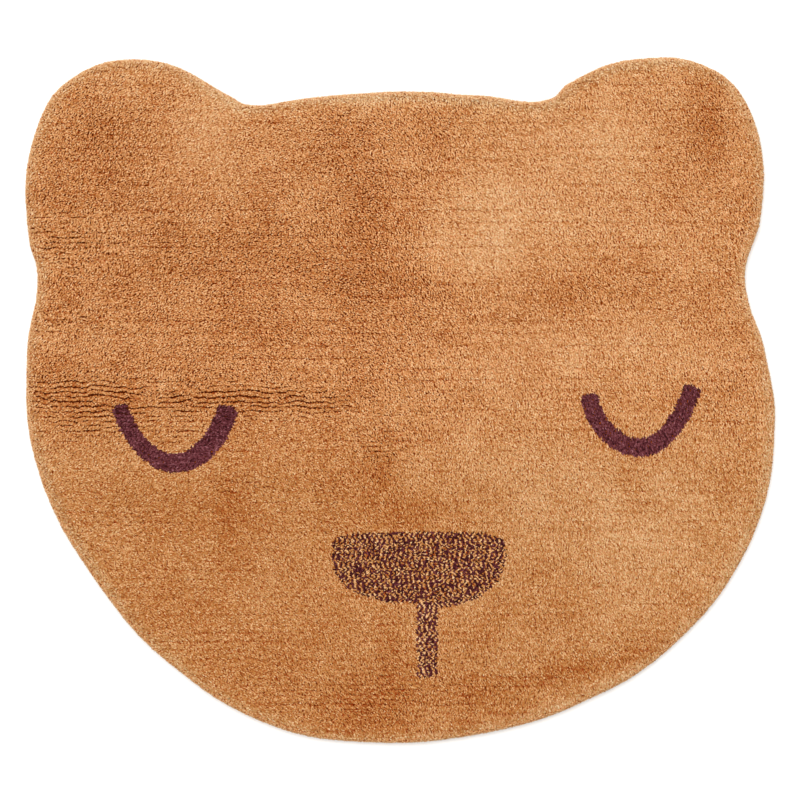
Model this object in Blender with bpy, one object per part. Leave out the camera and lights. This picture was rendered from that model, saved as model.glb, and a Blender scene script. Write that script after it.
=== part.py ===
"""A child's rug in the shape of an animal's head: round ears, closed eyes and a nose.

The rug lies flat with its underside at z = 0, its ears towards +Y and its face up (+Z).
It is one thick cut-pile slab with a full, rounded rim. The two eyes and the nose are
tufted in yarn of their own, so each is a piece let into the slab, level with its top.
Sizes here are in millimetres, measured from the middle of the rug. The meshes are made
in metres.
"""

import math

import bpy
import numpy as np

MM = 0.001

# Driving dimensions
RUG_THICKNESS = 15.0            # ground cloth and pile together
GROUND_THICKNESS = 2.5          # cloth left under the eyes and the nose
RIM_RADIUS = 7.0                # the pile bulges over the edge in a half round
RIM_SEGMENTS = 4
OUTLINE_STEPS = 6               # straight steps between two outline points
HANDLE_DIVISOR = 2.5614         # gives a round outline through points on a circle
INLAY_GAP = 0.3                 # room round and under each let-in piece
CUTTER_RISE = 5.0               # how far a cutter stands out above the pile

# The outline, anticlockwise from the right cheek. A smooth closed curve runs through
# these points. The two sides differ a little, as they do on a hand-made rug.
# Columns: place, x, y
OUTLINE = (
    ("right cheek", 550, -36),
    ("right temple", 535, 73),
    ("right ear, outer notch", 506, 181),
    ("right ear, outer foot", 530, 271),
    ("right ear, outer side", 519, 411),
    ("right ear, shoulder", 463, 483),
    ("right ear, top", 343, 500),
    ("right ear, inner side", 245, 463),
    ("right ear, inner notch", 221, 442),
    ("brow, right", 126, 446),
    ("brow, middle", 8, 453),
    ("brow, left", -146, 442),
    ("left ear, inner notch", -225, 434),
    ("left ear, inner side", -248, 446),
    ("left ear, top", -368, 499),
    ("left ear, shoulder", -485, 470),
    ("left ear, outer side", -537, 387),
    ("left ear, outer foot", -545, 238),
    ("left ear, outer notch", -532, 184),
    ("left cheek", -547, 74),
    ("left jowl", -536, -86),
    ("left jaw", -438, -277),
    ("left chin", -316, -405),
    ("chin, left of middle", -178, -481),
    ("chin", -57, -502),
    ("chin, right of middle", 123, -489),
    ("right chin", 260, -447),
    ("right jaw", 395, -365),
    ("right jowl", 517, -202),
)

# A closed eye is a stroke with blunt ends. Its middle line runs smoothly through five
# places, from the left tip round to the right one. Columns: place, x, y, width
EYES = {
    "eye_left": (
        ("left tip", -409, -14, 25),
        ("left arm", -386, -58, 25),
        ("lowest", -328, -92, 28),
        ("right arm", -275, -60, 31),
        ("right tip", -254, -15, 31),
    ),
    "eye_right": (
        ("left tip", 279, 2, 26),
        ("left arm", 295, -37, 27),
        ("lowest", 355, -69, 28),
        ("right arm", 402, -37, 26),
        ("right tip", 427, 14, 27),
    ),
}
EYE_STEPS = 24
EYE_TIP_REACH = 8               # how far a blunt tip stands past the stroke, mm

# The nose is a pad, flat on top and full below, with a straight stem under it.
# A pad of power 2 would be an ellipse, and a higher power squares its corners.
NOSE = dict(middle=(27, -226), half_width=128, rise=33, drop_left=72, drop_right=79,
            power_top=4.5, power_bottom=2.3)
NOSE_STEPS = 64
STEM = dict(middle=39.5, half_width=15.5, foot=-406, foot_reach=6)

BLUNT_POWER = 3.0               # how square the blunt ends are
BLUNT_STEPS = 5

# Colours in sRGB, 0 to 255
CAMEL = (204, 146, 98)
PLUM = (104, 57, 58)
MARL = (136, 83, 60)
PILE_ROUGHNESS = 0.95


def clear_scene():
    """Remove whatever the file already holds."""
    for thing in list(bpy.data.objects):
        bpy.data.objects.remove(thing, do_unlink=True)


def new_collection(name):
    """Add a collection to the scene."""
    collection = bpy.data.collections.new(name)
    bpy.context.scene.collection.children.link(collection)
    return collection


def linear(colour):
    """sRGB 0 to 255 as linear values with full alpha."""
    parts = [channel / 255.0 for channel in colour]
    parts = [c / 12.92 if c <= 0.04045 else ((c + 0.055) / 1.055) ** 2.4 for c in parts]
    return (*parts, 1.0)


def pile_material(name, colour):
    """Matt yarn of one colour."""
    material = bpy.data.materials.new(name)
    material.use_nodes = True
    shader = material.node_tree.nodes["Principled BSDF"]
    shader.inputs["Base Color"].default_value = linear(colour)
    shader.inputs["Roughness"].default_value = PILE_ROUGHNESS
    shader.inputs["Metallic"].default_value = 0.0
    material.diffuse_color = linear(colour)
    return material


def smooth_outline(rows):
    """A closed smooth curve through the rows of a table, in straight steps."""
    places = np.array([row[1:3] for row in rows], dtype=float)
    behind = places - np.roll(places, 1, axis=0)
    ahead = np.roll(places, -1, axis=0) - places
    length_behind = np.linalg.norm(behind, axis=1)[:, None]
    length_ahead = np.linalg.norm(ahead, axis=1)[:, None]
    tangent = behind / length_behind + ahead / length_ahead
    tangent /= np.linalg.norm(tangent, axis=1)[:, None] * HANDLE_DIVISOR
    leaving = places + tangent * length_ahead
    arriving = np.roll(places - tangent * length_behind, -1, axis=0)
    following = np.roll(places, -1, axis=0)
    steps = []
    for t in np.arange(OUTLINE_STEPS) / OUTLINE_STEPS:
        s = 1.0 - t
        steps.append(places * s ** 3 + leaving * 3 * s * s * t + arriving * 3 * s * t * t
                     + following * t ** 3)
    return np.stack(steps, axis=1).reshape(-1, 2)


def grown(outline, amount):
    """The outline moved outwards by an amount."""
    before = np.roll(outline, 1, axis=0)
    after = np.roll(outline, -1, axis=0)
    edge_in = outline - before
    edge_out = after - outline
    edge_in /= np.linalg.norm(edge_in, axis=1)[:, None]
    edge_out /= np.linalg.norm(edge_out, axis=1)[:, None]
    normal_in = np.stack((edge_in[:, 1], -edge_in[:, 0]), axis=1)
    normal_out = np.stack((edge_out[:, 1], -edge_out[:, 0]), axis=1)
    mitre = normal_in + normal_out
    mitre *= 2.0 / np.sum(mitre * mitre, axis=1)[:, None]
    return outline + amount * mitre


def slab(name, outline, section):
    """A closed slab: one ring of the outline for each inset and height of the section."""
    count = len(outline)
    rings = [np.column_stack((grown(outline, -inset), np.full(count, height)))
             for inset, height in section]
    here = np.arange(count)
    onward = np.roll(here, -1)
    faces = [here[::-1].tolist()]
    for start in range(0, count * (len(section) - 1), count):
        wall = (here, onward, onward + count, here + count)
        faces += (np.stack(wall, axis=1) + start).tolist()
    faces.append((here + count * (len(section) - 1)).tolist())
    mesh = bpy.data.meshes.new(name)
    mesh.from_pydata((np.concatenate(rings) * MM).tolist(), [], faces)
    return mesh


def rim_section():
    """The section of the rug's edge: a quarter round below and one above."""
    turn = np.linspace(0.0, math.pi / 2.0, RIM_SEGMENTS + 1)
    inset = RIM_RADIUS * (1.0 - np.sin(turn))
    rise = RIM_RADIUS * (1.0 - np.cos(turn))
    lower = list(zip(inset, rise))
    upper = list(zip(inset[::-1], RUG_THICKNESS - rise[::-1]))
    return lower + upper


def blunt_end(point, forward, side, half, reach):
    """A squarish round end, from the side that `side` points to, over to the other."""
    turn = np.linspace(0.0, math.pi, BLUNT_STEPS + 2)[1:-1]
    ahead = reach * np.sin(turn) ** (2.0 / BLUNT_POWER)
    across = half * np.sign(np.cos(turn)) * np.abs(np.cos(turn)) ** (2.0 / BLUNT_POWER)
    return point + forward * ahead[:, None] + side * across[:, None]


def eye_outline(rows):
    """The stroke of a closed eye, anticlockwise: lower side, end, upper side, start."""
    places = np.array([row[1:3] for row in rows], dtype=float)
    widths = np.array([row[3] for row in rows], dtype=float)
    chords = np.linalg.norm(np.diff(places, axis=0), axis=1)
    station = np.concatenate(((0.0,), np.cumsum(chords))) / chords.sum()
    along = np.linspace(0.0, 1.0, EYE_STEPS)
    degree = len(rows) - 1
    columns = [np.polyval(np.polyfit(station, places[:, axis], degree), along) for axis in (0, 1)]
    line = np.stack(columns, axis=1)
    half = np.interp(along, station, widths) / 2.0
    forward = np.gradient(line, axis=0)
    forward /= np.linalg.norm(forward, axis=1)[:, None]
    outward = np.stack((forward[:, 1], -forward[:, 0]), axis=1)
    outer = line + outward * half[:, None]
    inner = line - outward * half[:, None]
    end = blunt_end(line[-1], forward[-1], outward[-1], half[-1], EYE_TIP_REACH)
    start = blunt_end(line[0], -forward[0], -outward[0], half[0], EYE_TIP_REACH)
    return np.concatenate((outer, end, inner[::-1], start))


def nose_outline():
    """The pad's outline, anticlockwise from its lowest point, where the stem comes in."""
    middle_x, middle_y = NOSE["middle"]
    angle = np.radians(np.arange(NOSE_STEPS) * 360.0 / NOSE_STEPS - 90.0)
    across, up = np.cos(angle), np.sin(angle)
    power = np.where(up > 0.0, NOSE["power_top"], NOSE["power_bottom"])
    drop = np.where(across < 0.0, NOSE["drop_left"], NOSE["drop_right"])
    height = np.where(up > 0.0, NOSE["rise"], drop)
    x = middle_x + NOSE["half_width"] * np.sign(across) * np.abs(across) ** (2.0 / power)
    y = middle_y + height * np.sign(up) * np.abs(up) ** (2.0 / power)
    beside_stem = np.abs(x - STEM["middle"]) > STEM["half_width"] + 1.0
    pad = np.stack((x, y), axis=1)[beside_stem | (up > 0.0)]
    left = STEM["middle"] - STEM["half_width"]
    right = STEM["middle"] + STEM["half_width"]
    foot = np.array((STEM["middle"], STEM["foot"] + STEM["foot_reach"]))
    end = blunt_end(foot, np.array((0.0, -1.0)), np.array((-1.0, 0.0)), STEM["half_width"],
                    STEM["foot_reach"])
    down = np.array(((left, pad[-1, 1]), (left, foot[1])))
    back = np.array(((right, foot[1]), (right, pad[0, 1])))
    return np.concatenate((pad, down, end, back))


def add_piece(name, mesh, material, collection):
    """Put a mesh in the scene as a named piece of the rug."""
    mesh.materials.append(material)
    piece = bpy.data.objects.new(name, mesh)
    collection.objects.link(piece)
    return piece


def add_cutter(name, outline, collection):
    """A slab, a gap wider than the piece, that clears its place in the pile."""
    section = ((0.0, GROUND_THICKNESS), (0.0, RUG_THICKNESS + CUTTER_RISE))
    mesh = slab(name, grown(outline, INLAY_GAP), section)
    cutter = bpy.data.objects.new(name, mesh)
    cutter.hide_render = True
    cutter.display_type = "WIRE"
    collection.objects.link(cutter)
    return cutter


def let_in(body, name, outline, material, pieces, cutters):
    """Clear a place in the body and set a piece into it, level with the pile."""
    cutter = add_cutter("place_of_" + name, outline, cutters)
    cut = body.modifiers.new("place of " + name, "BOOLEAN")
    cut.operation = "DIFFERENCE"
    cut.solver = "EXACT"
    cut.object = cutter
    section = ((0.0, GROUND_THICKNESS + INLAY_GAP), (0.0, RUG_THICKNESS))
    add_piece(name, slab(name, outline, section), material, pieces)


def main():
    clear_scene()
    pieces = new_collection("animal_shaped_kids_rug")
    cutters = new_collection("cutters")
    body = add_piece("rug_body", slab("rug_body", smooth_outline(OUTLINE), rim_section()),
                     pile_material("camel_pile", CAMEL), pieces)
    for name, rows in EYES.items():
        let_in(body, name, eye_outline(rows), pile_material("plum_" + name, PLUM), pieces, cutters)
    let_in(body, "nose", nose_outline(), pile_material("marled_nose", MARL), pieces, cutters)


main()
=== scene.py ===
import math

import bpy
import numpy as np
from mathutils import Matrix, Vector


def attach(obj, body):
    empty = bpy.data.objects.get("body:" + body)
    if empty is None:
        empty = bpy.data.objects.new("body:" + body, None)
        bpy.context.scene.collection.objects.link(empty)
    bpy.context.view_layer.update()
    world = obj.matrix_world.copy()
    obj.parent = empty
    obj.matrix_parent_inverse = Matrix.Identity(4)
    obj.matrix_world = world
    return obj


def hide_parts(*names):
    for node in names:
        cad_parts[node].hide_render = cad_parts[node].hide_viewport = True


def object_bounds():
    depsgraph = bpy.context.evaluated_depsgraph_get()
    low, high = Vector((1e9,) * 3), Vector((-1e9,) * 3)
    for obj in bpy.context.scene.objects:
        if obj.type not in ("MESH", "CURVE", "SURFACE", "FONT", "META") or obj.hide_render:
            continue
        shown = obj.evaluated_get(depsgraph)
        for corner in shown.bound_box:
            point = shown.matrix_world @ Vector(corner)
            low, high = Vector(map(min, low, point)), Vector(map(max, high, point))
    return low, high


# A tufted cotton rug in the outline of an animal's head: a ground cloth, and on it about
# 150,000 cut tufts, each a small closed mesh. All sizes are in metres. Places are given
# from the rug's middle, x across it and y up the face.
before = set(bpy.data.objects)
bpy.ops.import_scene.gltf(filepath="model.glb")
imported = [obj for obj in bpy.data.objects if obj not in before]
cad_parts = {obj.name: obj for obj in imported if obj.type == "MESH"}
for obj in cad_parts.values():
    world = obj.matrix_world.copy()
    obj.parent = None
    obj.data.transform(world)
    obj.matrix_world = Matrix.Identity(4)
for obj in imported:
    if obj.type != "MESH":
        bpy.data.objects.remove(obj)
cadBox = [list(corner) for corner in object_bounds()]
mm = 0.001


def linearColour(hexCode):
    # sRGB hex to linear: a straight line in the darks, and above them a power of 2.4
    channels = np.array([int(hexCode[i:i + 2], 16) for i in (1, 3, 5)]) / 255.0
    straight = channels / 12.92
    curved = ((channels + 0.055) / 1.055) ** 2.4
    return (*np.where(channels <= 0.04045, straight, curved), 1.0)


def smoothStep(low, high, value):
    # 0 at low and before it, 1 at high and beyond, and between them, at the share t of the
    # way, three times t squared less twice t cubed
    t = np.clip((value - low) / (high - low), 0, 1)
    return t * t * (3 - 2 * t)


def softNoise(x, y, grain, seed):
    # random heights 0 to 1 on a square net of the given grain, joined by smooth steps
    size = 256
    net = np.random.default_rng(seed).random((size, size))
    u, v = x / grain, y / grain
    column, row = np.floor(u).astype(int), np.floor(v).astype(int)
    fx, fy = u - column, v - row
    fx, fy = fx * fx * (3 - 2 * fx), fy * fy * (3 - 2 * fy)
    left, right = column % size, (column + 1) % size
    low, high = row % size, (row + 1) % size
    lower = net[low, left] * (1 - fx) + net[low, right] * fx
    upper = net[high, left] * (1 - fx) + net[high, right] * fx
    return lower * (1 - fy) + upper * fy


def cloudNoise(x, y, grain, seed):
    # Three layers of soft noise, each half as coarse and half as strong as the one before. The
    # sum is divided by its most, 1.75, and brought to -1 to 1.
    total = sum(softNoise(x, y, grain / 2 ** k, seed + 7 * k) / 2 ** k for k in range(3))
    return total / 1.75 * 2 - 1


patchFall = 1.4    # leaves a quarter of a patch's strength at the edge of its oval


def softPatch(x, y, patch):
    # A bell over a turned oval: strength times e to the power of less patchFall times the sum
    # of the squares of the shares of the half length and the half width.
    middleX, middleY, halfLength, halfWidth, turn, strength = patch[1:]
    cosine, sine = math.cos(math.radians(turn)), math.sin(math.radians(turn))
    dx, dy = x - middleX * mm, y - middleY * mm
    along = (dx * cosine + dy * sine) / (halfLength * mm)
    across = (dy * cosine - dx * sine) / (halfWidth * mm)
    return strength * np.exp(-patchFall * (along ** 2 + across ** 2))


def nodePoints(name):
    # a node's points as rows of x, y, z
    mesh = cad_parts[name].data
    points = np.zeros(len(mesh.vertices) * 3, np.float32)
    mesh.vertices.foreach_get("co", points)
    return points.reshape(-1, 3).astype(float)


def nodeTop(name):
    # the corners, seen from above, of the triangles within 0.1 mm of a let-in piece's top
    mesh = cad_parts[name].data
    mesh.calc_loop_triangles()
    corners = np.zeros(len(mesh.loop_triangles) * 3, int)
    mesh.loop_triangles.foreach_get("vertices", corners)
    triangles = nodePoints(name)[corners.reshape(-1, 3)]
    top = triangles[:, :, 2].min(axis=1) > triangles[:, :, 2].max() - 0.1 * mm
    return triangles[top][:, :, :2]


def insideTop(x, y, name):
    # A point is in a triangle if it lies on one side of all three edges: the cross product
    # of the edge and the way to the point has the same sign for each.
    inside = np.zeros(len(x), bool)
    for corners in nodeTop(name):
        edge = np.roll(corners, -1, axis=0) - corners
        side = (x - corners[:, :1]) * edge[:, 1:] - (y - corners[:, 1:]) * edge[:, :1]
        inside |= (side <= 0).all(axis=0) | (side >= 0).all(axis=0)
    return inside


# The outline is the body's rim where it is widest, half-way up to within a twentieth of the
# thickness. It is put in order by its direction from a place that sees all of it.
lookout = np.array((0.0, -30 * mm))
bodyPoints = nodePoints("rug_body")
thickness = cadBox[1][2] - cadBox[0][2]
widest = np.abs(bodyPoints[:, 2] - thickness / 2) < thickness * 0.05
rimLine = np.unique(np.round(bodyPoints[widest][:, :2], 5), axis=0)
rimLine = rimLine[np.argsort(np.arctan2(rimLine[:, 1] - lookout[1], rimLine[:, 0] - lookout[0]))]
rimEdge = np.roll(rimLine, -1, axis=0) - rimLine
rimLength = np.linalg.norm(rimEdge, axis=1)


def rimPoints(count, inset):
    # Points evenly spaced along the outline, moved inwards by inset. The outward way at each
    # is the line between the third points either side of it, turned by a right angle.
    station = np.concatenate(((0.0,), np.cumsum(rimLength)))
    at = np.linspace(0.0, station[-1], count, endpoint=False)
    whole = np.vstack((rimLine, rimLine[:1]))
    line = np.stack([np.interp(at, station, whole[:, k]) for k in (0, 1)], axis=1)
    ahead = np.roll(line, -3, axis=0) - np.roll(line, 3, axis=0)
    ahead /= np.linalg.norm(ahead, axis=1)[:, None]
    outward = np.stack((ahead[:, 1], -ahead[:, 0]), axis=1)
    return line - outward * inset, outward


def rimDistance(x, y):
    # How far each point lies inside the outline (negative outside), and the outward way: the
    # least distance to any edge, each edge's nearest place cut off at its two ends.
    fromX, fromY = x[:, None] - rimLine[None, :, 0], y[:, None] - rimLine[None, :, 1]
    share = np.clip((fromX * rimEdge[:, 0] + fromY * rimEdge[:, 1]) / rimLength ** 2, 0, 1)
    gapX, gapY = fromX - share * rimEdge[:, 0], fromY - share * rimEdge[:, 1]
    gap = gapX ** 2 + gapY ** 2
    nearest = gap.argmin(axis=1)
    each = np.arange(len(x))
    away = np.stack((rimEdge[nearest, 1], -rimEdge[nearest, 0]), axis=1)
    away /= rimLength[nearest][:, None]
    side = gapX[each, nearest] * away[:, 0] + gapY[each, nearest] * away[:, 1]
    return -np.sign(side) * np.sqrt(gap[each, nearest]), away


def addNode(tree, kind, settings=None, stops=None, **inputs):
    # Adds a node, sets its properties, and sets or links its sockets. A socket goes by its
    # name, or by i and its number. Stops are the colours of an even ramp.
    node = tree.nodes.new(kind)
    for key, value in (settings or {}).items():
        setattr(node, key, value)
    if stops:
        elements = node.color_ramp.elements
        while len(elements) < len(stops):
            elements.new(0.5)
        for index, code in enumerate(stops):
            elements[index].position = index / (len(stops) - 1)
            elements[index].color = linearColour(code)
    for key, value in inputs.items():
        numbered = key[0] == "i" and key[1:].isdigit()
        socket = node.inputs[int(key[1:])] if numbered else node.inputs[key.replace("_", " ")]
        if isinstance(value, bpy.types.NodeSocket):
            tree.links.new(value, socket)
        else:
            socket.default_value = value
    return node


def newMaterial(name):
    # a material with an empty node tree
    material = bpy.data.materials.new(name)
    material.use_nodes = True
    material.node_tree.nodes.clear()
    return material, material.node_tree


# Cut cotton yarn: hundreds of fibre ends that scatter light evenly, so it is matt. It has a
# faint warm sheen where the fibres stand on end to the eye. Tints multiply the colour: the
# root tint is painted shade, darker and warmer down in the tuft, where little light reaches;
# the side tint is painted sheen off the yarn's side, paler and less red where the pile lies closed.
# Two yarns change over between changeStart and changeEnd of the attribute yarn.
fibre = dict(fleck=1.4 * mm, fleckDetail=2.0, fleckFineness=0.6, fleckTone=0.24, rootEnd=0.45,
             tipStart=0.95, changeStart=0.42, changeEnd=0.58, relief=0.35, reliefDepth=0.3 * mm,
             roughness=0.92, ior=1.45, specular=0.02, sheen=0.03, sheenRoughness=0.6,
             sheenTint="#C86420")
camelYarn = dict(name="cut cotton yarn, camel", colours=("#8E3206", "#B57A3C", "#E2B37B", "#EECE9E"),
                 paintedRootShade=(0.84, 0.2, 0.01), closedSheenTint=(0.82, 1.02, 1.28))
plumYarn = dict(name="cut cotton yarn, plum", colours=("#331417", "#5E2B30", "#794448", "#966268"),
                paintedRootShade=(0.6, 0.42, 0.45), closedSheenTint=(1.0, 1.0, 1.0))
marledYarn = dict(name="cut cotton yarn, plum and camel", colours=camelYarn["colours"],
                  otherColours=plumYarn["colours"], paintedRootShade=(0.7, 0.38, 0.25), closedSheenTint=(0.97, 1.0, 1.1))
# The slab's yarn colours are painted shade: darker than the camel pile, as the pile's floor lies in the
# tufts' shade.
rootYarn = dict(name="cotton yarn roots in painted shade, camel", colours=("#5A2208", "#7C3208", "#A44C0E"),
                paintedRootShade=camelYarn["paintedRootShade"], closedSheenTint=(1.0, 1.0, 1.0))


def cutCotton(yarn):
    # Colour is a ramp over the point's tone plus flecks. The attributes tip, closed and yarn
    # say how far up the tuft a point is, how closed the pile lies and which yarn it is. Tip
    # sets how much painted root shade a point gets, and closed how much painted sheen.
    material, tree = newMaterial(yarn["name"])
    tone = addNode(tree, "ShaderNodeAttribute", dict(attribute_name="tone"))
    tip = addNode(tree, "ShaderNodeAttribute", dict(attribute_name="tip"))
    place = addNode(tree, "ShaderNodeTexCoord")
    # yarn fibres of 0.02 mm are drawn as flecks of 0.7 mm, half the noise's grain, so that they show
    fleck = addNode(tree, "ShaderNodeTexNoise", Vector=place.outputs["Object"], Scale=1 / fibre["fleck"],
                    Detail=fibre["fleckDetail"], Roughness=fibre["fleckFineness"])
    shift = addNode(tree, "ShaderNodeMath", dict(operation="MULTIPLY_ADD"), i0=fleck.outputs[0],
                    i1=fibre["fleckTone"], i2=-fibre["fleckTone"] / 2)
    level = addNode(tree, "ShaderNodeMath", dict(operation="ADD"), i0=tone.outputs["Fac"],
                    i1=shift.outputs[0])
    first = addNode(tree, "ShaderNodeValToRGB", None, yarn["colours"], Fac=level.outputs[0])
    # painted sheen: where the pile is closed the colour is multiplied by the side tint, paler and less red
    closed = addNode(tree, "ShaderNodeAttribute", dict(attribute_name="closed"))
    first = addNode(tree, "ShaderNodeMix", dict(data_type="RGBA", blend_type="MULTIPLY"),
                    i0=closed.outputs["Fac"], i6=first.outputs[0], i7=(*yarn["closedSheenTint"], 1.0))
    colour = first.outputs[2]
    if "otherColours" in yarn:
        second = addNode(tree, "ShaderNodeValToRGB", None, yarn["otherColours"], Fac=level.outputs[0])
        which = addNode(tree, "ShaderNodeAttribute", dict(attribute_name="yarn"))
        edge = addNode(tree, "ShaderNodeMapRange", None, i0=which.outputs["Fac"], i1=fibre["changeStart"],
                       i2=fibre["changeEnd"])
        blend = addNode(tree, "ShaderNodeMix", dict(data_type="RGBA"), i0=edge.outputs[0],
                        i6=colour, i7=second.outputs[0])
        colour = blend.outputs[2]
    # painted shade: down in the tuft the colour is multiplied by the root tint, darker and warmer
    tinted = addNode(tree, "ShaderNodeMix", dict(data_type="RGBA", blend_type="MULTIPLY"), i0=1.0,
                     i6=colour, i7=(*yarn["paintedRootShade"], 1.0))
    height = addNode(tree, "ShaderNodeMapRange", None, i0=tip.outputs["Fac"], i1=fibre["rootEnd"],
                     i2=fibre["tipStart"])
    deep = addNode(tree, "ShaderNodeMix", dict(data_type="RGBA"), i0=height.outputs[0],
                   i6=tinted.outputs[2], i7=colour)
    bump = addNode(tree, "ShaderNodeBump", None, Strength=fibre["relief"], Distance=fibre["reliefDepth"],
                   Height=fleck.outputs[0])
    surface = addNode(tree, "ShaderNodeBsdfPrincipled", None, Base_Color=deep.outputs[2],
                      Normal=bump.outputs[0], Roughness=fibre["roughness"], IOR=fibre["ior"],
                      Specular_IOR_Level=fibre["specular"], Sheen_Weight=fibre["sheen"],
                      Sheen_Roughness=fibre["sheenRoughness"], Sheen_Tint=linearColour(fibre["sheenTint"]))
    output = addNode(tree, "ShaderNodeOutputMaterial")
    tree.links.new(surface.outputs[0], output.inputs[0])
    return material


# Unbleached cotton cloth, plain woven: matt and pale, with the threads just showing. Real
# threads lie 1.1 mm apart. They are drawn 4.4 mm apart, so that the weave shows.
cloth = dict(name="unbleached cotton cloth", colours=("#A08C6E", "#CDBB9C", "#DCCDB2"),
             thread=4.4 * mm, waviness=0.6, relief=0.5, reliefDepth=0.4 * mm, roughness=0.9, ior=1.45)


def groundCloth():
    # the product of two waves, one across the warp and one across the weft; a wave of scale 1
    # has 20 / (2 pi) threads to the metre
    material, tree = newMaterial(cloth["name"])
    place = addNode(tree, "ShaderNodeTexCoord")
    warp, weft = (addNode(tree, "ShaderNodeTexWave", dict(bands_direction=axis),
                          Vector=place.outputs["Object"], Scale=2 * math.pi / 20 / cloth["thread"],
                          Distortion=cloth["waviness"]) for axis in ("X", "Y"))
    weave = addNode(tree, "ShaderNodeMath", dict(operation="MULTIPLY"), i0=warp.outputs[1],
                    i1=weft.outputs[1])
    tint = addNode(tree, "ShaderNodeValToRGB", None, cloth["colours"], Fac=weave.outputs[0])
    bump = addNode(tree, "ShaderNodeBump", None, Strength=cloth["relief"], Distance=cloth["reliefDepth"],
                   Height=weave.outputs[0])
    surface = addNode(tree, "ShaderNodeBsdfPrincipled", None, Base_Color=tint.outputs[0],
                      Normal=bump.outputs[0], Roughness=cloth["roughness"], IOR=cloth["ior"])
    output = addNode(tree, "ShaderNodeOutputMaterial")
    tree.links.new(surface.outputs[0], output.inputs[0])
    return material


camelCotton = cutCotton(camelYarn)
plumCotton = cutCotton(plumYarn)
marledCotton = cutCotton(marledYarn)
rootCotton = cutCotton(rootYarn)
clothCotton = groundCloth()
print("materials made")

# Painted pile shading: where the pile shows lighter or darker by the way it lies to the light.
# Columns: place, x mm, y mm, half length mm, half width mm, turn in degrees, tone (above 0 is lighter)
pileShadePatches = (
    ("left ear, dark middle", -435, 360, 60, 65, 0, -0.08),
    ("left ear, top", -365, 475, 90, 25, 0, 0.06),
    ("left ear, inner side", -270, 415, 90, 65, 0, 0.14),
    ("left temple, light", -295, 345, 90, 60, 0, 0.06),
    ("left edge, light", -520, 145, 30, 190, 0, 0.03),
    ("left temple band", -305, 200, 250, 45, 3, -0.05),
    ("brow, rim", 15, 440, 280, 20, 0, 0.1),
    ("brow, left of middle", -60, 300, 80, 105, 0, -0.06),
    ("brow, left, light", -160, 350, 60, 45, 0, 0.06),
    ("brow, dark middle", -20, 170, 105, 55, 0, -0.13),
    ("brow, bright patch", 140, 255, 125, 90, 10, 0.15),
    ("brow, bright patch, upper", 280, 365, 110, 75, 0, 0.12),
    ("right ear, top", 340, 470, 105, 30, 0, 0.04),
    ("right ear, dark side", 450, 390, 30, 90, 0, -0.13),
    ("right ear, middle", 375, 240, 75, 60, 0, 0.05),
    ("right ear, outer rim", 515, 270, 30, 90, 0, -0.08),
    ("right temple band", 270, 160, 170, 30, 0, -0.1),
    ("right brow, light", 325, 70, 175, 60, 0, 0.1),
    ("bridge, light", 110, 55, 90, 30, 0, 0.06),
    ("bridge, upper", 165, 115, 60, 20, 0, -0.05),
    ("left brow, dark", -295, 50, 280, 45, 0, -0.01),
    ("left edge, dark", -470, -5, 75, 30, 0, -0.06),
    ("crease", -305, 0, 235, 20, 0, -0.05),
    ("crease, inner end", -145, -5, 90, 30, 0, 0.02),
    ("crease, middle", -25, -90, 30, 60, 0, -0.14),
    ("between the eyes, light", 160, -75, 130, 90, 0, 0.03),
    ("between the eyes, bright", 190, -60, 50, 25, 0, 0.05),
    ("right eye, right of", 450, -60, 35, 25, 0, 0.07),
    ("right eye, below", 380, -120, 35, 30, 0, 0.06),
    ("right eye, above", 430, 5, 90, 25, 0, -0.05),
    ("left eye, in its arc", -200, -65, 80, 25, 0, -0.05),
    ("bridge, low", -60, -120, 130, 25, 0, -0.05),
    ("left cheek, dark", -275, -160, 110, 65, 0, -0.14),
    ("left jaw, dark", -290, -240, 60, 35, 0, -0.06),
    ("left jaw, rim", -485, -120, 40, 40, 0, -0.06),
    ("left temple, lower", -350, 118, 55, 30, 0, -0.05),
    ("left cheek, low", -235, -365, 160, 60, -35, -0.08),
    ("right cheek, light", 310, -190, 175, 115, 0, 0.07),
    ("right cheek, dark spot", 465, -145, 25, 20, 30, -0.06),
    ("beside the nose, dark", 160, -315, 90, 55, 0, -0.05),
    ("beside the stem, dark", 110, -350, 40, 30, 0, -0.07),
    ("right of the nose", 205, -270, 35, 60, 0, -0.06),
    ("fold line, lower", -10, -365, 30, 105, 0, -0.13),
    ("over the nose, dark", 0, -170, 90, 40, 0, -0.14),
    ("chin, dark", -15, -440, 170, 45, 0, -0.13),
    ("chin, rim", -10, -485, 200, 20, 0, -0.07),
    ("chin, dark strip, left", -115, -380, 160, 25, -4, -0.03),
    ("chin, dark strip, right", 235, -400, 175, 20, 12, -0.16),
)

# Where rows have parted. Columns as above, with the strength of the parting last.
partedPlaces = (
    ("crease, left edge", -485, 10, 115, 45, 0, 0.75),
    ("crease, over the eye", -335, 0, 160, 30, 0, 1.0),
    ("crease, past the eye", -160, 0, 115, 30, 0, 0.75),
    ("crease, thinning out", 0, -5, 145, 25, 0, 0.3),
    ("under the crease", -455, -45, 105, 30, 0, 0.6),
    ("in the left eye's arc", -320, -50, 70, 25, 0, 0.5),
    ("under the left eye", -215, -125, 120, 25, 0, 0.4),
    ("crease, middle", -25, -75, 60, 50, 0, 0.6),
    ("left edge, upper", -500, 240, 90, 60, 0, 0.55),
    ("left edge, lower", -500, 110, 105, 30, 0, 0.5),
    ("left temple", -265, 220, 250, 50, 0, 0.3),
    ("left cheek", -425, -185, 145, 65, 0, 0.35),
    ("chin", -15, -425, 295, 60, 0, 0.45),
    ("under the bridge", 110, -5, 110, 35, 0, 0.15),
    ("brow edge", 80, 415, 190, 35, 0, 0.3),
    ("right edge", 490, 5, 60, 45, 0, 0.4),
)

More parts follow.
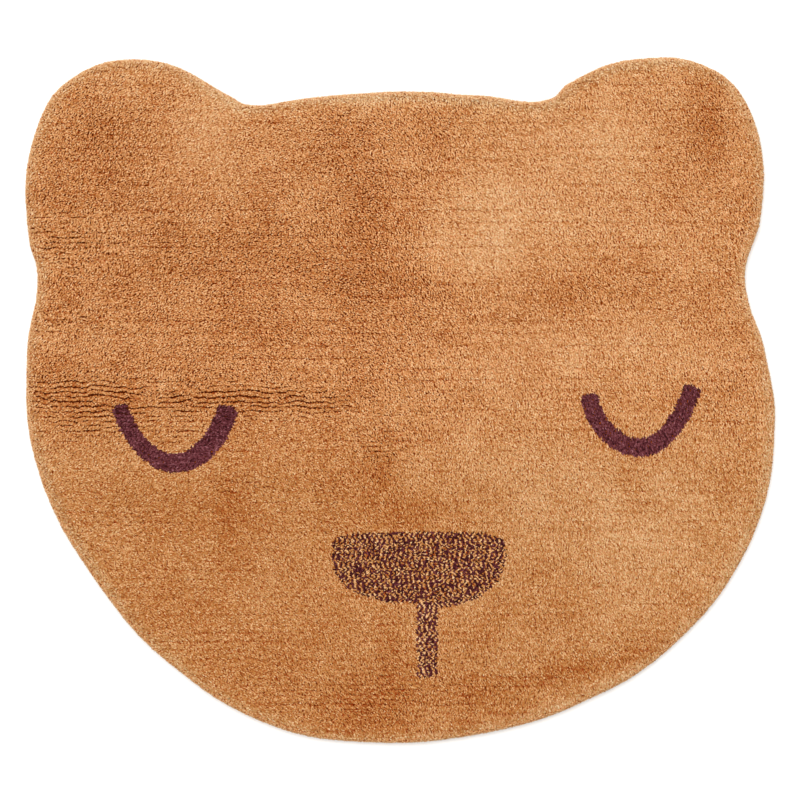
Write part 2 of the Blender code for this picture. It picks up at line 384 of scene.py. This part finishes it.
# Tones run from 0, dark, to 1, light. Each of these is the share of one cause, and streaks are
# streakLength times as long as high. Pairs named steps, here and below, are where a smooth
# step begins and ends.
# Of these, rightSide and rim are painted light on the pile, and parted is painted shade beside partings.
shade = dict(middle=0.535, rightSide=0.03, rightSteps=(-55 * mm, -5 * mm), clouds=0.08,
             streaks=0.035, streakLength=4, rim=0.05, rimSteps=(20 * mm, 6 * mm), openPile=0.21,
             oneTuft=0.02, strands=0.38, parted=0.1)

# How open the pile stands. It closes above fromTone, and also low on the face and on the right.
openPile = dict(fromTone=0.45, byTone=1.6, least=0.35, most=1.15, lowLoss=0.4,
                lowSteps=(60 * mm, -160 * mm), rightLoss=0.12, rightSteps=(0, 200 * mm))


def broadTone(x, y):
    # the yarn's middle tone plus the painted pile shading of all the patches
    return shade["middle"] + sum(softPatch(x, y, patch) for patch in pileShadePatches)


def foldStrength(x, y):
    # the sum of the parted places
    return sum(softPatch(x, y, place) for place in partedPlaces)


def pileOpenness(x, y, tone):
    # Pile that lies darker stands open, with deep gaps, and pile that lies lighter is closed:
    # 1 less byTone times what the tone is above fromTone, and then less each loss's share.
    byTone = 1.0 - openPile["byTone"] * (tone - openPile["fromTone"])
    byTone = np.clip(byTone, openPile["least"], openPile["most"])
    lower = openPile["lowLoss"] * smoothStep(*openPile["lowSteps"], y)
    rightward = openPile["rightLoss"] * smoothStep(*openPile["rightSteps"], x)
    return byTone * (1 - lower) * (1 - rightward)


# The slab that the tufts stand in. Its edge is a short table carried along the outline.
# Columns: inset from the outline mm, height mm. The cloth turns up over the first two steps.
slab = dict(around=420, clothRings=2, topRings=36, topShares=(0.98, 0.02), topHeight=11.6 * mm,
            openDepth=1.6 * mm, openShare=0.6, openSteps=(0.6, 1.0), edgeTone=0.5)
slabEdge = ((7.0, 0.0), (4.8, 0.5), (3.6, 2.0), (3.1, 4.0), (3.1, 6.8), (4.6, 9.2), (9.0, 10.2))


def makeGround():
    # The edge's rings are the outline moved inwards. The top closes in rings that shrink
    # towards the lookout. It lies close under the tufts' tips, and deeper where the pile stands
    # open or the rows have parted, and there its tone is lower: painted shade in the gaps.
    around = slab["around"]
    rings = [np.column_stack((rimPoints(around, inset * mm)[0], np.full(around, height * mm)))
             for inset, height in slabEdge]
    tones = [np.full(around, slab["edgeTone"])] * len(rings)
    edge = rings[-1][:, :2]
    for share in np.linspace(*slab["topShares"], slab["topRings"]):
        line = lookout + (edge - lookout) * share
        x, y = line[:, 0], line[:, 1]
        opened = smoothStep(*slab["openSteps"], pileOpenness(x, y, broadTone(x, y)))
        depth = np.clip(foldStrength(x, y) + slab["openShare"] * opened, 0, 1)
        rings.append(np.column_stack((line, slab["topHeight"] - slab["openDepth"] * depth)))
        tones.append(1 - depth)
    points = np.concatenate(rings)
    step = np.arange(around)
    onward = (step + 1) % around
    walls = [np.stack((step + r * around, onward + r * around, onward + (r + 1) * around,
                       step + (r + 1) * around), axis=1) for r in range(len(rings) - 1)]
    walls = np.concatenate(walls).tolist()
    top = list(range((len(rings) - 1) * around, len(rings) * around))
    bottom = list(range(around - 1, -1, -1))
    mesh = bpy.data.meshes.new("rug_ground")
    mesh.from_pydata(points.tolist(), [], walls + [top, bottom])
    mesh.materials.append(rootCotton)
    mesh.materials.append(clothCotton)
    ofCloth = np.zeros(len(walls) + 2, np.int32)
    ofCloth[:slab["clothRings"] * around] = 1
    ofCloth[-1] = 1                                                   # the underside
    mesh.polygons.foreach_set("material_index", ofCloth)
    for label, values in (("tone", np.concatenate(tones)), ("tip", np.ones(len(points)))):
        layer = mesh.attributes.new(label, "FLOAT", "POINT")
        layer.data.foreach_set("value", values.astype(np.float32))
    piece = bpy.data.objects.new("rug_ground", mesh)
    bpy.context.scene.collection.objects.link(piece)
    return piece


ground = makeGround()
print("ground made")

# One tuft is a root point, a ring of a few points and a blunt tip. Spreads are shares of the
# tuft's own half width or length, and ringTurn is in radians.
tuft = dict(sides=3, ringTurn=0.25, ringReach=1.2, reachSpread=(0.85, 1.15), ringRise=(0.72, 0.86),
            tipSlip=0.25, ringTip=0.68)


def tuftShapes(root, aim, length, halfWidth, stretch, stretchWay, rng):
    # The ring is root + rise along the aim + reach times the cosine of the angle along
    # stretchWay + reach times its sine across, and all of it is jittered, so that no two
    # tufts are alike. The ring is longer along stretchWay.
    count, sides = len(root), tuft["sides"]
    aim = aim / np.linalg.norm(aim, axis=1)[:, None]
    along = stretchWay - aim * np.sum(stretchWay * aim, axis=1)[:, None]
    along /= np.linalg.norm(along, axis=1)[:, None]
    across = np.cross(aim, along)
    angle = np.arange(sides) * (2 * math.pi / sides) + rng.uniform(0, 2 * math.pi, (count, 1))
    angle = angle + rng.uniform(-tuft["ringTurn"], tuft["ringTurn"], (count, sides))
    reach = tuft["ringReach"] * halfWidth[:, None] * rng.uniform(*tuft["reachSpread"], (count, sides))
    rise = length[:, None] * rng.uniform(*tuft["ringRise"], (count, sides))
    ring = (root[:, None] + aim[:, None] * rise[:, :, None]
            + along[:, None] * (np.cos(angle) * reach * stretch[:, None])[:, :, None]
            + across[:, None] * (np.sin(angle) * reach)[:, :, None])
    slip = rng.normal(0, tuft["tipSlip"], (count, 2)) * halfWidth[:, None]
    tip = root + aim * length[:, None] + along * slip[:, :1] * stretch[:, None] + across * slip[:, 1:]
    return np.concatenate((root[:, None], ring, tip[:, None]), axis=1)


def tuftMesh(name, shapes, tone, strands, closed, yarn, material, rng):
    # Joins the tufts in one mesh, with faces from the ring up to the tip and down to the root.
    # A point's tone is its tuft's plus a random part of its own, as strands of one yarn have.
    count, perTuft = shapes.shape[:2]
    sides = perTuft - 2
    k = np.arange(sides)
    ringNow, ringNext = 1 + k, 1 + (k + 1) % sides
    upper = np.stack((ringNow, ringNext, np.full(sides, perTuft - 1)), axis=1)
    lower = np.stack((ringNext, ringNow, np.zeros(sides, int)), axis=1)
    faces = np.concatenate((upper, lower))
    corners = (faces[None] + (np.arange(count) * perTuft)[:, None, None]).ravel()
    mesh = bpy.data.meshes.new(name)
    mesh.vertices.add(count * perTuft)
    mesh.vertices.foreach_set("co", shapes.astype(np.float32).ravel())
    mesh.loops.add(len(corners))
    mesh.loops.foreach_set("vertex_index", corners.astype(np.int32))
    mesh.polygons.add(len(corners) // 3)
    mesh.polygons.foreach_set("loop_start", np.arange(0, len(corners), 3, dtype=np.int32))
    mesh.polygons.foreach_set("use_smooth", np.ones(len(corners) // 3, bool))
    addTuftMap(mesh, count, faces)
    tip = np.concatenate(((0.0,), np.full(sides, tuft["ringTip"]), (1.0,)))
    spread = rng.normal(0, 1, (count, perTuft))
    spread -= spread[:, 1:].mean(axis=1)[:, None]
    tones = tone + spread * strands[:, None]
    yarns = rng.random((count, perTuft)) < yarn[:, None]
    for label, values in (("tone", tones.ravel()), ("yarn", yarns.ravel()), ("tip", np.tile(tip, count)),
                          ("closed", np.repeat(closed, perTuft))):
        layer = mesh.attributes.new(label, "FLOAT", "POINT")
        layer.data.foreach_set("value", values.astype(np.float32))
    mesh.update(calc_edges=True)
    mesh.materials.append(material)
    piece = bpy.data.objects.new(name, mesh)
    bpy.context.scene.collection.objects.link(piece)
    return piece


def addTuftMap(mesh, count, faces):
    # A square cell of the map for each tuft: the tip in the middle, the ring round it at about
    # half the cell, and each lower face as a point of a star that reaches near the cell's edge.
    ringRadius, starRadius = 0.26, 0.46
    sides = len(faces) // 2
    grid = math.ceil(math.sqrt(count))
    turn = np.arange(sides) * 2 * math.pi / sides
    between = turn + math.pi / sides
    ring = ringRadius * np.stack((np.cos(turn), np.sin(turn)), axis=1)
    star = starRadius * np.stack((np.cos(between), np.sin(between)), axis=1)
    onward = np.roll(ring, -1, axis=0)
    upper = np.stack((ring, onward, np.zeros_like(ring)), axis=1)
    lower = np.stack((onward, ring, star), axis=1)
    cell = np.concatenate((upper, lower)) + 0.5
    place = np.stack((np.arange(count) % grid, np.arange(count) // grid), axis=1)
    uv = (cell[None] + place[:, None, None, :]) / grid
    layer = mesh.uv_layers.new(name="OFBake")
    layer.data.foreach_set("uv", uv.astype(np.float32).ravel())


# The grain and the seed of each cloud noise
clouds = dict(rowWave=(60 * mm, 31), foldWave=(26 * mm, 37), foldRipple=(11 * mm, 39),
              passBend=(260 * mm, 83), tone=(50 * mm, 41), streaks=(11 * mm, 43), lean=(120 * mm, 51),
              strokeBroad=(50 * mm, 57), strokeFine=(12 * mm, 59), rimReach=(40 * mm, 67),
              rimTone=(50 * mm, 71))

# Rows of cut yarn ends run across the rug, four close rows to each row of the tool. Where the
# rug was folded they bend by a wave and a ripple, drawn out across the rows by tall.
rows = dict(seed=11, step=1.82 * mm, tuftStep=3.6 * mm, perTool=4, acrossJitter=0.14 * mm,
            alongJitter=0.5 * mm, rimInset=7.0 * mm, waveHeight=1.2 * mm, foldHeight=6.0 * mm,
            foldWave=0.85, foldRipple=0.65, rippleElsewhere=0.08, tall=0.6)

# Rows part along stretches of uneven length: long where the rug was folded, short elsewhere,
# and faint and very long, in broken runs, between the tool's passes. Each stretch is given by
# its length and seed. Shares say how far each of the four rows bends up.
parting = dict(everywhere=0.14, shares=(1.0, 0.3, -0.3, -1.0), apart=0.45 * mm, widest=0.95 * mm,
               drop=0.52 * mm, dropSpread=(0.4, 1.0), steadied=0.7, steadySteps=(0.3, 1.0),
               long=(26 * mm, 23), longSteps=(0.15, 0.42), foldedSteps=(0.5, 0.9),
               short=(13 * mm, 25), shortSteps=(0.5, 0.7), shortMore=1.15, partedSteps=(0.25, 0.5),
               faint=(90 * mm, 27), faintSteps=(0.2, 0.8), broken=(13 * mm, 29),
               brokenSteps=(0.3, 0.6), unbroken=0.35)

# The tool was carried across the rug in long passes. They are wider on the brow than on the
# chin, and a shallow line, darkened with painted shade, shows between two of them.
passes = dict(places=(-250 * mm, -150 * mm, 20 * mm, 80 * mm),
              heights=(13.2 * mm, 14.8 * mm, 14.8 * mm, 18.2 * mm), bend=3.5 * mm,
              lineWidth=3.3 * mm, rowWidth=1.5 * mm, parted=0.5, drop=0.3 * mm, deeper=0.3,
              tone=0.073, closedTone=0.2, openTone=1.3, chinTone=0.4, chinSteps=(-280 * mm, -360 * mm),
              margin=20 * mm, levels=1200)


def rowField(rng):
    # A net of places in straight rows: x is the column times its step and y the row times its
    # step. Every row starts at a place of its own.
    lowX, lowY = cadBox[0][0], cadBox[0][1]
    columnCount = int((cadBox[1][0] - lowX) / rows["tuftStep"]) + 3
    rowCount = int((cadBox[1][1] - lowY) / rows["step"]) + 2
    row, column = np.meshgrid(np.arange(rowCount), np.arange(columnCount), indexing="ij")
    x = lowX + (column - 2 + 2 * rng.random((rowCount, 1))) * rows["tuftStep"]
    y = lowY + row * rows["step"]
    return x.ravel(), y.ravel(), row.ravel(), column.ravel()


def stretchNoise(x, number, length, seed):
    # Soft noise along x. Each numbered row reads the net 9.7 lengths on from the row before,
    # so that no two rows are alike.
    return softNoise(x, number * 9.7 * length, length, seed)


def partedStrength(x, y, row, lineNumber):
    # How far each four rows part from the next, and then the same for the lines between
    # passes: the fold strength there times smooth steps of the noise along the row.
    number = (row + rows["perTool"] // 2) // rows["perTool"]
    longOnes = smoothStep(*parting["longSteps"], stretchNoise(x, number, *parting["long"]))
    shortOnes = smoothStep(*parting["shortSteps"], stretchNoise(x, number, *parting["short"]))
    where = parting["everywhere"] + foldStrength(x, y)
    folded = smoothStep(*parting["foldedSteps"], where)
    short = smoothStep(*parting["partedSteps"], where) * shortOnes
    between = np.clip(where, 0, 1) * (longOnes * folded + parting["shortMore"] * short * (1 - folded))
    faint = smoothStep(*parting["faintSteps"], stretchNoise(x, lineNumber, *parting["faint"]))
    broken = smoothStep(*parting["brokenSteps"], stretchNoise(x, lineNumber, *parting["broken"]))
    broken = parting["unbroken"] + (1 - parting["unbroken"]) * broken
    return between, faint * broken * (1 - folded)


def passLines(x, y):
    # The signed distance to the nearest line between passes, and that line's number. The
    # number is the sum of 1 / height of a pass, taken from the rug's lower edge up to y.
    low, high = cadBox[0][1] - passes["margin"], cadBox[1][1] + passes["margin"]
    level = np.linspace(low, high, passes["levels"])
    height = np.interp(level, passes["places"], passes["heights"])
    count = np.cumsum((level[1] - level[0]) / height)
    y = y + passes["bend"] * cloudNoise(x, y, *clouds["passBend"])
    at = np.interp(y, level, count)
    number = np.round(at)
    return (at - number) * np.interp(y, passes["places"], passes["heights"]), number


def placeTufts(rng):
    # The rows bend by cloud noise, most where the rug was folded. Beside a parting they move
    # apart: the row above it bends up and the row below it bends down. A line between passes
    # is a bell over the distance to it. Its mean over a pass is handed on as well, so that
    # the lines can be darkened and the pile as a whole is not.
    x, y, row, column = rowField(rng)
    creased = np.clip(foldStrength(x, y), 0, 1)
    wave = cloudNoise(x, y, *clouds["rowWave"]) * rows["waveHeight"]
    broadWave = cloudNoise(x, y * rows["tall"], *clouds["foldWave"])
    wave += broadWave * creased * rows["foldHeight"] * rows["foldWave"]
    ripple = cloudNoise(x, y * rows["tall"], *clouds["foldRipple"])
    wave += ripple * (rows["rippleElsewhere"] + creased) * rows["foldHeight"] * rows["foldRipple"]
    fromLine, lineNumber = passLines(x, y)
    parted, line = partedStrength(x, y, row, lineNumber)
    upwards = np.choose(row % rows["perTool"], parting["shares"])
    besideLine = np.sign(fromLine) * np.exp(-(fromLine / passes["rowWidth"]) ** 2)
    atLine = line * passes["parted"] * np.abs(besideLine) > parted * np.abs(upwards)
    parted = np.where(atLine, line * passes["parted"], parted)
    upwards = np.where(atLine, besideLine, upwards)
    passHeight = np.interp(y, passes["places"], passes["heights"])
    lineMean = line * passes["lineWidth"] * math.sqrt(math.pi) / passHeight
    line = line * np.exp(-(fromLine / passes["lineWidth"]) ** 2)
    x = x + rng.normal(0, rows["alongJitter"], len(x))
    y = y + wave + rng.normal(0, rows["acrossJitter"], len(y)) * (1 - parting["steadied"] * parted)
    y = y + upwards * parted * parting["apart"]
    inset, away = rimDistance(x, y)
    keep = inset > rows["rimInset"]
    return (values[keep] for values in (x, y, column, parted, upwards, line, lineMean, inset, away))


# Which way yarn ends cling together, in degrees from level. The way turns down towards the
# right, the lower face and the chin, and sways by two cloud noises.
stroke = dict(left=25, rightTurn=73, rightSteps=(-420 * mm, 150 * mm), lowTurn=20,
              lowSteps=(150 * mm, -100 * mm), chinTurn=40, chinSteps=(-50 * mm, -250 * mm),
              broadSway=30, fineSway=45)


def strokeWay(x, y):
    # up to the right on the left ear, less each turn times its smooth step
    right = smoothStep(*stroke["rightSteps"], x)
    low = smoothStep(*stroke["lowSteps"], y)
    chin = smoothStep(*stroke["chinSteps"], y)
    turned = stroke["left"] - stroke["rightTurn"] * right - stroke["lowTurn"] * low * right
    return turned - stroke["chinTurn"] * chin * (1 - right)


# Ridges where yarn ends cling together, and what they do to a tuft. A tuft is pulled by the
# slope between two places, one on each side of it.
clump = dict(long=4.2 * mm, wide=1.4 * mm, height=0.7 * mm, pull=0.48 * mm, beside=0.4 * mm,
             tone=0.34, closedDepth=0.3, ways=(25, -12, -48, -68, -90), blend=14, seed=100)


def clumpNoise(x, y, way, aside=0.0):
    # A net of random heights stretched along the stroke, less the mean of its neighbours
    # across, so that ridge and gap take turns. Nets of a few fixed ways are blended by how
    # near each is to the stroke's: e to the power of less the square of the gap over blend.
    total, weights = np.zeros(len(x)), np.zeros(len(x))
    for angle in clump["ways"]:
        cosine, sine = math.cos(math.radians(angle)), math.sin(math.radians(angle))
        along = (x * cosine + y * sine) / clump["long"]
        across = (y * cosine - x * sine + aside) / clump["wide"]
        seed = clump["seed"] + angle
        beside = softNoise(along, across + 1, 1.0, seed) + softNoise(along, across - 1, 1.0, seed)
        rise = softNoise(along, across, 1.0, seed) - 0.5 * beside
        weight = np.exp(-((way - angle) / clump["blend"]) ** 2)
        total, weights = total + rise * weight, weights + weight
    return total / weights


# How tufts stand. Most lie towards the chin, a little to the right, which is leanWay in
# degrees from level. Lean is the sideways share of the height. Turn and lie jitters, here and
# at the rim, are in radians.
pile = dict(rootHeight=7.5 * mm, tipHeight=14.4 * mm, heightJitter=0.3 * mm, halfWidth=1.48 * mm,
            widthSpread=(0.9, 1.1), stretch=1.9, stretchSpread=(0.8, 1.2), lieJitter=0.35,
            leanWay=-74, leanTurn=60, turnJitter=0.4, lean=0.22, leanJitter=0.1, leanLonger=0.5,
            closedWider=0.8, rimLean=0.32, rimWider=0.2, rimSteps=(32 * mm, 6 * mm),
            rimSheen=0.4, rimSheenSteps=(25 * mm, 6 * mm))


def makeField():
    # Places the tufts, then gives each its tone, lean, length, width and turn from where it
    # stands: tones add up, and lean and length change with how open the pile is there.
    rng = np.random.default_rng(rows["seed"])
    x, y, column, parted, upwards, line, lineMean, inset, away = placeTufts(rng)
    count = len(x)

    tone = broadTone(x, y)
    # painted pile shading: the right side is a little lighter
    tone += shade["rightSide"] * smoothStep(*shade["rightSteps"], x)
    streaked = shade["streaks"] * cloudNoise(x / shade["streakLength"], y, *clouds["streaks"])
    tone += shade["clouds"] * cloudNoise(x, y, *clouds["tone"]) + streaked
    # painted light: a paler band along the rim
    tone += shade["rim"] * smoothStep(*shade["rimSteps"], inset)
    openness = pileOpenness(x, y, tone)
    tone -= shade["openPile"] * (1 - openness)
    tone += rng.normal(0, shade["oneTuft"], count)
    # painted shade: tufts beside a parting and along the lines between passes are darker
    lineTone = passes["tone"] * (passes["closedTone"] + passes["openTone"] * openness)
    lineTone *= 1 + passes["chinTone"] * smoothStep(*passes["chinSteps"], y)
    tone -= shade["parted"] * parted * upwards ** 2 + lineTone * (line - lineMean)

    # the tufts beside a deep parting stand in line
    steady = 1 - parting["steadied"] * smoothStep(*parting["steadySteps"], parted)
    turn = np.radians(pile["leanWay"] + pile["leanTurn"] * cloudNoise(x, y, *clouds["lean"]))
    turn = turn + rng.normal(0, pile["turnJitter"], count) * steady
    steep = np.clip(pile["lean"] + rng.normal(0, pile["leanJitter"], count) * steady * openness, 0, 1.0)
    leanX, leanY = steep * np.cos(turn), steep * np.sin(turn)
    nearRim = smoothStep(*pile["rimSteps"], inset)
    leanX = leanX * (1 - nearRim) + away[:, 0] * nearRim * pile["rimLean"]
    leanY = leanY * (1 - nearRim) + away[:, 1] * nearRim * pile["rimLean"]
    length = pile["tipHeight"] - pile["rootHeight"] + rng.normal(0, pile["heightJitter"], count) * openness
    leanY = leanY + upwards * parted * parting["widest"] / length
    dropShare = rng.uniform(*parting["dropSpread"], count)
    length = length - parted * np.abs(upwards) * parting["drop"] * dropShare

    way = strokeWay(x, y) + stroke["broadSway"] * cloudNoise(x, y, *clouds["strokeBroad"])
    way = (way + stroke["fineSway"] * cloudNoise(x, y, *clouds["strokeFine"])) * steady
    slope = clumpNoise(x, y, way, clump["beside"]) - clumpNoise(x, y, way, -clump["beside"])
    pull = slope * clump["pull"] * openness ** 2
    leanX = leanX - np.sin(np.radians(way)) * pull / length
    leanY = leanY + np.cos(np.radians(way)) * pull / length
    ridge = clumpNoise(x, y, way) * openness ** 2
    length = length + ridge * clump["height"] - passes["drop"] * line

    root = np.stack((x, y, np.full(count, pile["rootHeight"])), axis=1)
    aim = np.stack((leanX, leanY, np.ones(count)), axis=1)
    lie = np.radians(way) + rng.normal(0, pile["lieJitter"], count) * steady
    inside = {name: insideTop(x, y, name) for name in ("eye_left", "eye_right", "nose")}
    lie = np.where(inside["nose"], rng.uniform(0, math.pi, count), lie)   # marled yarn lies every way
    stretchWay = np.stack((np.cos(lie), np.sin(lie), np.zeros(count)), axis=1)
    width = pile["halfWidth"] * rng.uniform(*pile["widthSpread"], count) * (1 + pile["rimWider"] * nearRim)
    width *= 1 + pile["closedWider"] * (1 - openness)
    stretch = pile["stretch"] * rng.uniform(*pile["stretchSpread"], count)
    length = length * np.sqrt(1 + pile["leanLonger"] * steep ** 2)
    shapes = tuftShapes(root, aim, length, width, stretch, stretchWay, rng)

    yarnEnds = shapes[:, :, :2].reshape(-1, 2)
    streaks = clumpNoise(yarnEnds[:, 0], yarnEnds[:, 1], np.repeat(way, shapes.shape[1])).reshape(count, -1)
    depth = clump["closedDepth"] + (1 - clump["closedDepth"]) * openness
    depth = depth * (1 + passes["deeper"] * line)
    # the ridges are raised, and their tone is painted too: painted light on the ridges and painted shade in
    # the gaps between
    tone = tone[:, None] + streaks * clump["tone"] * depth[:, None]
    # closed also carries painted sheen: near the rim it is raised, so that the rim is painted paler
    closed = 1 - openness + pile["rimSheen"] * smoothStep(*pile["rimSheenSteps"], inset)
    return y, column, tone, shade["strands"] * depth, closed, shapes, inside, rng


# Rim tufts stand out like spokes from a line that runs inside the half-round edge. Fans are
# the spokes' angles from upright, in degrees.
rimPile = dict(seed=61, fans=(20, 33, 46, 59, 72, 85, 98, 111, 124, 136), step=3.0 * mm, fanJitter=7,
               middle=7.5 * mm, middleJitter=0.9 * mm, rootReach=1.2 * mm, tipReach=7.4 * mm,
               reachJitter=0.25 * mm, uneven=0.9 * mm, aimJitter=0.08, lieJitter=0.5,
               halfWidth=1.55 * mm, widthSpread=(0.9, 1.15), stretch=1.8, stretchSpread=(0.8, 1.2),
               tone=0.58, byWay=0.08, outerByWay=0.07, lightWay=(0.2, 0.9), outerTone=0.25,
               outerSteps=(42, 72), clouds=0.07, oneTuft=0.03, strands=0.24, closed=0.6)


def makeRim():
    # Each row is a fan angle carried along the outline: root and tip lie on the spoke at
    # that angle, from the line that runs inside the edge at half the rug's thickness.
    rng = np.random.default_rng(rimPile["seed"])
    shapes, tones = [], []
    count = int(rimLength.sum() / rimPile["step"])
    line, normal = rimPoints(count, rimPile["middle"])
    along = np.column_stack((-normal[:, 1], normal[:, 0], np.zeros(count)))
    facing = normal @ np.array(rimPile["lightWay"])
    cloudTone = rimPile["clouds"] * cloudNoise(line[:, 0], line[:, 1], *clouds["rimTone"])
    uneven = cloudNoise(line[:, 0], line[:, 1], *clouds["rimReach"]) * rimPile["uneven"]
    reach = rimPile["tipReach"] - rimPile["rootReach"]
    for fan in rimPile["fans"]:
        fanned = np.radians(fan + rng.normal(0, rimPile["fanJitter"], count))
        spoke = np.column_stack((normal * np.sin(fanned)[:, None], np.cos(fanned)))
        middle = np.column_stack((line, np.full(count, thickness / 2)))
        middle += along * rng.normal(0, rimPile["middleJitter"], (count, 1))
        length = reach + rng.normal(0, rimPile["reachJitter"], count) + uneven
        aim = spoke + rng.normal(0, rimPile["aimJitter"], (count, 3))
        width = rimPile["halfWidth"] * rng.uniform(*rimPile["widthSpread"], count)
        stretch = rimPile["stretch"] * rng.uniform(*rimPile["stretchSpread"], count)
        lie = along + np.cross(along, spoke) * rng.normal(0, rimPile["lieJitter"], (count, 1))
        root = middle + spoke * rimPile["rootReach"]
        shapes.append(tuftShapes(root, aim, length, width, stretch, lie, rng))
        # painted light: outer fans, where the pile leans out at the edge, are paler, and inner fans are
        # paler on the side that faces up the face
        outer = smoothStep(*rimPile["outerSteps"], fan)
        byWay = (rimPile["byWay"] - rimPile["outerByWay"] * outer) * facing
        tones.append(rimPile["tone"] + byWay + rimPile["outerTone"] * outer + cloudTone
                     + rng.normal(0, rimPile["oneTuft"], count))
    return np.concatenate(shapes), np.concatenate(tones)


y, column, tone, strands, closed, shapes, inside, rng = makeField()
print("field of tufts worked out:", len(y))
pieces = []

# The camel field is cut in five pieces from the ears down to the chin.
order = np.flatnonzero(~(inside["eye_left"] | inside["eye_right"] | inside["nose"]))
order = order[np.argsort(-y[order], kind="stable")]
fieldNames = ("ears", "brow", "eyes", "cheeks", "chin")
for part, name in zip(np.array_split(order, len(fieldNames)), fieldNames):
    piece = tuftMesh("camel_pile_" + name, shapes[part], tone[part], strands[part], closed[part],
                     np.zeros(len(part)), camelCotton, rng)
    pieces.append((piece, "rug_body", "camel_pile"))

rimShapes, rimTone = makeRim()
rimCount = len(rimTone)
# the rim tufts' closed share gives them painted sheen, paler and less red
piece = tuftMesh("camel_pile_rim", rimShapes, rimTone[:, None], np.full(rimCount, rimPile["strands"]),
                 np.full(rimCount, rimPile["closed"]), np.zeros(rimCount), camelCotton, rng)
pieces.append((piece, "rug_body", "camel_pile"))

eyePile = dict(tone=0.42, oneTuft=0.14, strands=0.34)
for node in ("eye_left", "eye_right"):
    inEye = inside[node]
    eyeCount = inEye.sum()
    eyeTone = eyePile["tone"] + rng.normal(0, eyePile["oneTuft"], eyeCount)
    piece = tuftMesh(node + "_pile", shapes[inEye], eyeTone[:, None], np.full(eyeCount, eyePile["strands"]),
                     closed[inEye], np.zeros(eyeCount), plumCotton, rng)
    pieces.append((piece, node, "plum_pile"))

# Marled yarn: camel and plum ends by turns along each row, with more plum ends here and
# there. The stem lies a little lighter than the nose above it.
nosePile = dict(morePlum=0.18, plumTone=0.17, camelTone=0.44, oneTuft=0.08, strands=0.34,
                stemLighter=0.07, stemTop=-285 * mm, stemFull=-310 * mm)
inNose = inside["nose"]
noseCount = inNose.sum()
plumEnd = np.where(rng.random(noseCount) < nosePile["morePlum"], 1, column[inNose] % 2)
noseTone = np.where(plumEnd == 1, nosePile["plumTone"], nosePile["camelTone"])
noseTone += rng.normal(0, nosePile["oneTuft"], noseCount)
noseTone += nosePile["stemLighter"] * smoothStep(nosePile["stemTop"], nosePile["stemFull"], y[inNose])
piece = tuftMesh("nose_pile", shapes[inNose], noseTone[:, None], np.full(noseCount, nosePile["strands"]),
                 closed[inNose], plumEnd, marledCotton, rng)
pieces.append((piece, "nose", "marled_pile"))
print("tufts made:", len(y) + rimCount)

for piece, node, slotName in [(ground, "rug_body", "camel_pile")] + pieces:
    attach(piece, "root")
    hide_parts(node)

# A pale floor just under the rug, so that the lowest tufts don't dip into it, one very soft
# light from the upper left and an even white sky. The camera looks straight down.
studio = dict(floorColour="#F7F7F6", floorSize=60.0, floorDrop=0.5 * mm, lightAngle=60, lightStrength=2.3,
              lightTurn=(-26, -12), skyColour="#FFFFFF", skyStrength=0.76, viewWidth=1.1733,
              cameraHeight=3.2, sensor=36.0)


def makeFloor():
    # one square face
    half, low = studio["floorSize"] / 2, -studio["floorDrop"]
    corners = [(-half, -half, low), (half, -half, low), (half, half, low), (-half, half, low)]
    mesh = bpy.data.meshes.new("floor")
    mesh.from_pydata(corners, [], [(0, 1, 2, 3)])
    material, tree = newMaterial("pale studio floor")
    surface = addNode(tree, "ShaderNodeBsdfDiffuse", None, Color=linearColour(studio["floorColour"]))
    output = addNode(tree, "ShaderNodeOutputMaterial")
    tree.links.new(surface.outputs[0], output.inputs[0])
    mesh.materials.append(material)
    floor = bpy.data.objects.new("floor", mesh)
    bpy.context.scene.collection.objects.link(floor)
    return floor


floor = makeFloor()

lightData = bpy.data.lights.new("soft key", "SUN")
lightData.energy = studio["lightStrength"]
lightData.angle = math.radians(studio["lightAngle"])
light = bpy.data.objects.new("soft key", lightData)
light.rotation_euler = (*(math.radians(turn) for turn in studio["lightTurn"]), 0)
bpy.context.scene.collection.objects.link(light)

world = bpy.data.worlds.new("studio")
world.use_nodes = True
sky = world.node_tree.nodes["Background"]
sky.inputs[0].default_value = linearColour(studio["skyColour"])
sky.inputs[1].default_value = studio["skyStrength"]
bpy.context.scene.world = world

# The lens is what makes viewWidth fill the frame at half the rug's thickness.
cameraData = bpy.data.cameras.new("camera")
cameraData.sensor_width = studio["sensor"]
cameraData.lens = studio["sensor"] * (studio["cameraHeight"] - thickness / 2) / studio["viewWidth"]
camera = bpy.data.objects.new("camera", cameraData)
camera.location = (0, 0, studio["cameraHeight"])
bpy.context.scene.collection.objects.link(camera)
bpy.context.scene.camera = camera
bpy.context.scene.view_settings.view_transform = "Standard"
print("studio made")
